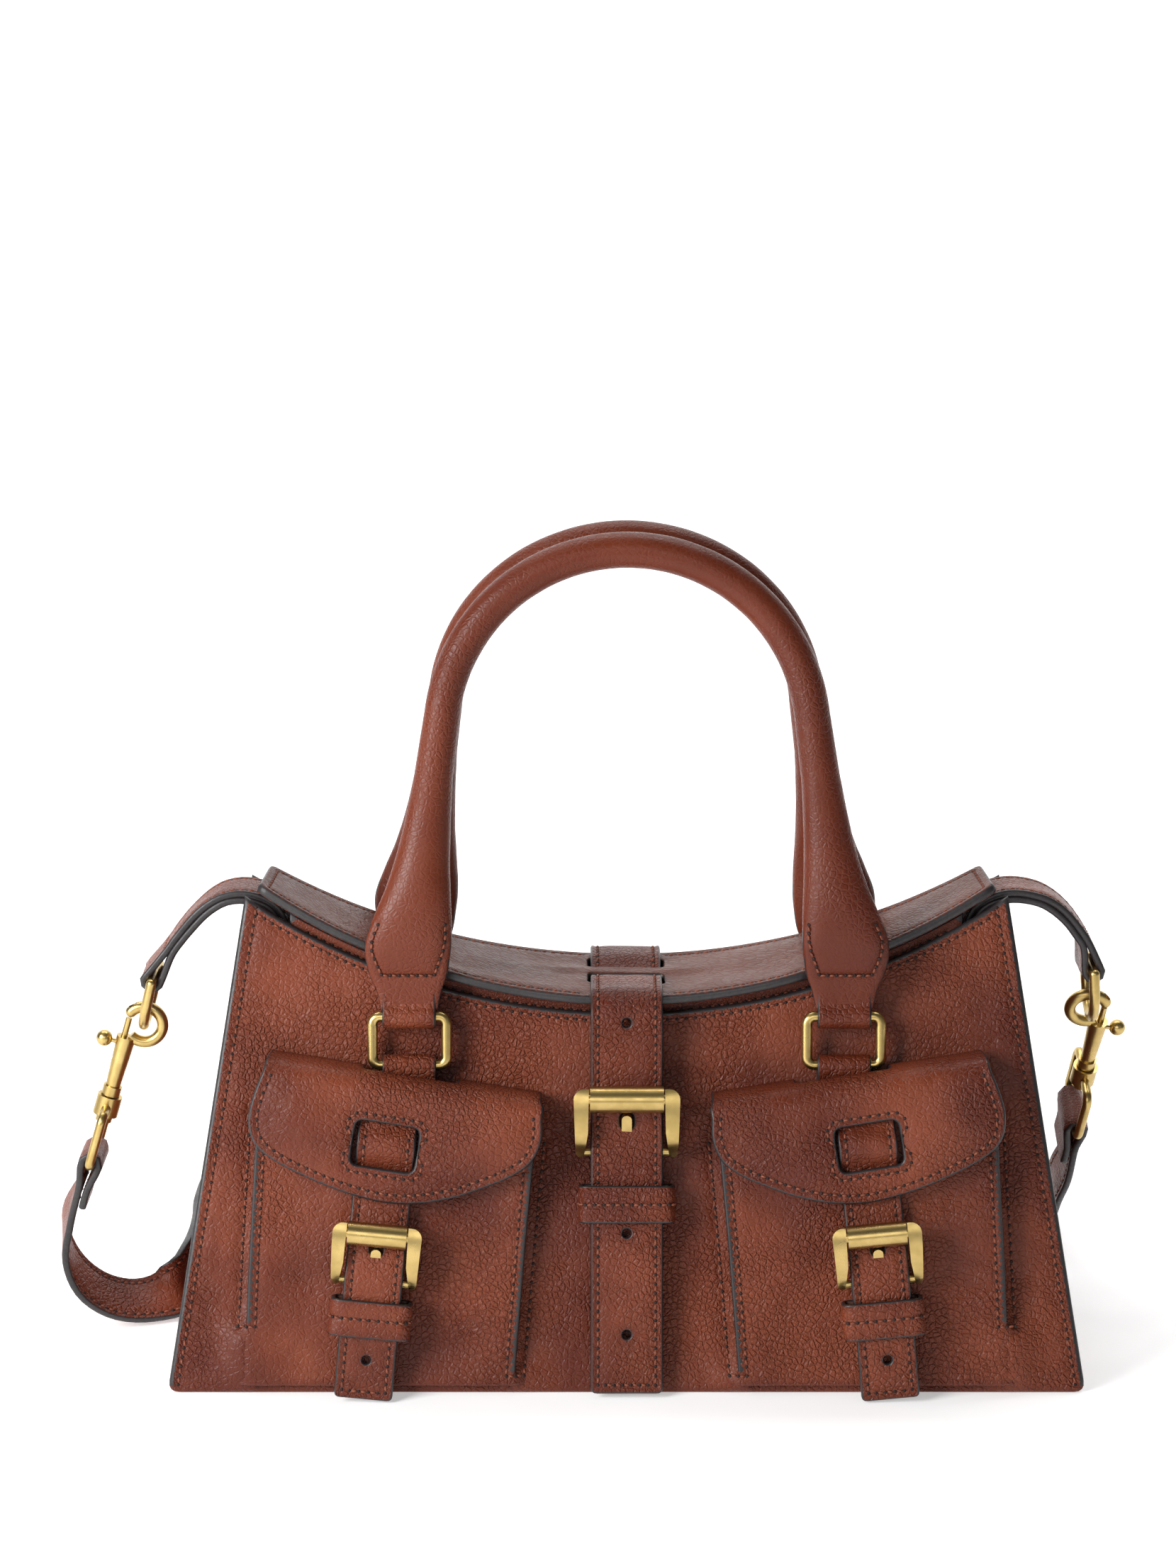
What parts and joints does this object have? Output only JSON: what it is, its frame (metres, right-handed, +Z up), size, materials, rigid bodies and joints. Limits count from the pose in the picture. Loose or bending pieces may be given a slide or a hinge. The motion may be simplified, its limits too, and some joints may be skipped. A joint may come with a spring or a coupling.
{
  "type": "satchel bag",
  "caption": "Leather top-handle bag with a curved hinged lid, buckled centre strap, flap pockets on the front, ring-mounted handles and a clip-on shoulder strap.",
  "frame": {"origin": "centre of the flat underside of the bag", "axes": "+X to the wearer's view right along the bag, +Y from the front with its pockets to the back, +Z up"},
  "size_m": [0.3724, 0.3101, 0.2857],
  "materials": {
    "leather": "pebbled grain, satin",
    "facing_leather": "smooth",
    "lining_cloth": "woven",
    "board": "matt",
    "cord": "twisted",
    "steel": "satin",
    "brass": "satin"
  },
  "bodies": {
    "bag": {"front_panel": "leather", "back_panel": "leather", "gusset_left": "leather", "gusset_right": "leather", "base_panel": "leather", "base_board": "board", "front_facing": "facing_leather", "back_facing": "facing_leather", "lining": "lining_cloth", "rear_strap": "leather", "centre_magnet_plate": "steel", "pocket_left": "leather", "pocket_right": "leather", "flap_root_left": "leather", "flap_root_right": "leather", "ring_tabs_front": "leather", "ring_tabs_back": "leather", "side_tab_left": "leather", "side_tab_right": "leather", "shoulder_strap": "leather"},
    "lid_and_strap": {"lid": "leather", "centre_strap": "leather", "centre_buckle_frame": "brass", "centre_chape": "leather", "centre_keeper": "leather", "centre_magnet": "steel"},
    "centre_roller": {"centre_roller": "brass"},
    "centre_prong": {"centre_prong": "brass"},
    "handle_rings_front": {"ring_front_left": "brass", "ring_front_right": "brass"},
    "handle_rings_back": {"ring_back_left": "brass", "ring_back_right": "brass"},
    "handle_front": {"handle_front": "leather", "handle_core_front": "cord"},
    "handle_back": {"handle_back": "leather", "handle_core_back": "cord"},
    "flap_left": {"flap_left": "leather", "pocket_strap_left": "leather", "buckle_frame_left": "brass", "chape_left": "leather", "keeper_left": "leather", "magnet_left": "steel"},
    "roller_left": {"roller_left": "brass"},
    "prong_left": {"prong_left": "brass"},
    "flap_right": {"flap_right": "leather", "pocket_strap_right": "leather", "buckle_frame_right": "brass", "chape_right": "leather", "keeper_right": "leather", "magnet_right": "steel"},
    "roller_right": {"roller_right": "brass"},
    "prong_right": {"prong_right": "brass"},
    "d_ring_left": {"d_ring_left": "brass"},
    "hook_left": {"hook_left": "brass"},
    "bolt_left": {"bolt_left": "brass"},
    "swivel_left": {"swivel_left": "brass"},
    "d_ring_right": {"d_ring_right": "brass"},
    "hook_right": {"hook_right": "brass"},
    "bolt_right": {"bolt_right": "brass"},
    "swivel_right": {"swivel_right": "brass"}
  },
  "joints": [
    {"name": "lid_hinge", "type": "hinge", "parent": "bag", "child": "lid_and_strap", "pos_m": [0, 0.025, 0.15], "axis": [-1, 0, 0], "range_deg": [0, 75]},
    {"name": "centre_roller_spin", "type": "hinge", "parent": "lid_and_strap", "child": "centre_roller", "pos_m": [0, -0.04443, 0.09945], "axis": [1, 0, 0], "continuous": true},
    {"name": "centre_prong_play", "type": "hinge", "parent": "lid_and_strap", "child": "centre_prong", "pos_m": [0, -0.03975, 0.07948], "axis": [1, 0, 0], "range_deg": [0, 6]},
    {"name": "flap_left_lift", "type": "hinge", "parent": "bag", "child": "flap_left", "pos_m": [-0.0742, -0.04829, 0.10312], "axis": [-0.9877, 0.0279, 0.1539], "range_deg": [0, 80]},
    {"name": "roller_left_spin", "type": "hinge", "parent": "flap_left", "child": "roller_left", "pos_m": [-0.08304, -0.06019, 0.05732], "axis": [0.9956, -0.0168, -0.0926], "continuous": true},
    {"name": "prong_left_play", "type": "hinge", "parent": "flap_left", "child": "prong_left", "pos_m": [-0.08462, -0.05682, 0.03972], "axis": [0.9956, -0.0168, -0.0926], "range_deg": [0, 6]},
    {"name": "flap_right_lift", "type": "hinge", "parent": "bag", "child": "flap_right", "pos_m": [0.0742, -0.04829, 0.10312], "axis": [-0.9877, -0.0279, -0.1539], "range_deg": [0, 80]},
    {"name": "roller_right_spin", "type": "hinge", "parent": "flap_right", "child": "roller_right", "pos_m": [0.08304, -0.06019, 0.05732], "axis": [0.9956, 0.0168, 0.0926], "continuous": true},
    {"name": "prong_right_play", "type": "hinge", "parent": "flap_right", "child": "prong_right", "pos_m": [0.08462, -0.05682, 0.03972], "axis": [0.9956, 0.0168, 0.0926], "range_deg": [0, 6]},
    {"name": "rings_front_swing", "type": "hinge", "parent": "bag", "child": "handle_rings_front", "pos_m": [0, -0.03363, 0.10817], "axis": [1, 0, 0], "range_deg": [0, 12]},
    {"name": "handle_front_fold", "type": "hinge", "parent": "handle_rings_front", "child": "handle_front", "pos_m": [0, -0.03119, 0.12439], "axis": [1, 0, 0], "range_deg": [0, 45]},
    {"name": "rings_back_swing", "type": "hinge", "parent": "bag", "child": "handle_rings_back", "pos_m": [0, 0.03363, 0.10817], "axis": [-1, 0, 0], "range_deg": [0, 12]},
    {"name": "handle_back_fold", "type": "hinge", "parent": "handle_rings_back", "child": "handle_back", "pos_m": [0, 0.03119, 0.12439], "axis": [-1, 0, 0], "range_deg": [0, 45]},
    {"name": "d_ring_left_swing", "type": "hinge", "parent": "bag", "child": "d_ring_left", "pos_m": [-0.1618, 0, 0.13], "axis": [0, 1, 0], "range_deg": [-12, 15]},
    {"name": "hook_left_swing", "type": "hinge", "parent": "d_ring_left", "child": "hook_left", "pos_m": [-0.16585, 0, 0.11246], "axis": [0, 1, 0], "range_deg": [-14, 20]},
    {"name": "bolt_left_slide", "type": "slide", "parent": "hook_left", "child": "bolt_left", "axis": [-0.2823, 0, -0.9593], "range_m": [0, 0.0045], "stiffness_N_per_m": 400, "springref_m": -0.002},
    {"name": "swivel_left_spin", "type": "hinge", "parent": "hook_left", "child": "swivel_left", "pos_m": [-0.17935, 0, 0.0836], "axis": [-0.2823, 0, -0.9593], "continuous": true, "deforming": ["shoulder_strap"]},
    {"name": "d_ring_right_swing", "type": "hinge", "parent": "bag", "child": "d_ring_right", "pos_m": [0.1594, 0, 0.1334], "axis": [0, 1, 0], "range_deg": [-15, 6]},
    {"name": "hook_right_swing", "type": "hinge", "parent": "d_ring_right", "child": "hook_right", "pos_m": [0.16013, 0.00549, 0.11674], "axis": [-0.0198, 0.891, 0.4536], "range_deg": [-20, 6]},
    {"name": "bolt_right_slide", "type": "slide", "parent": "hook_right", "child": "bolt_right", "axis": [-0.1092, 0.449, -0.8868], "range_m": [0, 0.0045], "stiffness_N_per_m": 400, "springref_m": -0.002},
    {"name": "swivel_right_spin", "type": "hinge", "parent": "hook_right", "child": "swivel_right", "pos_m": [0.16146, 0.01996, 0.08837], "axis": [-0.1092, 0.449, -0.8868], "continuous": true}
  ]
}
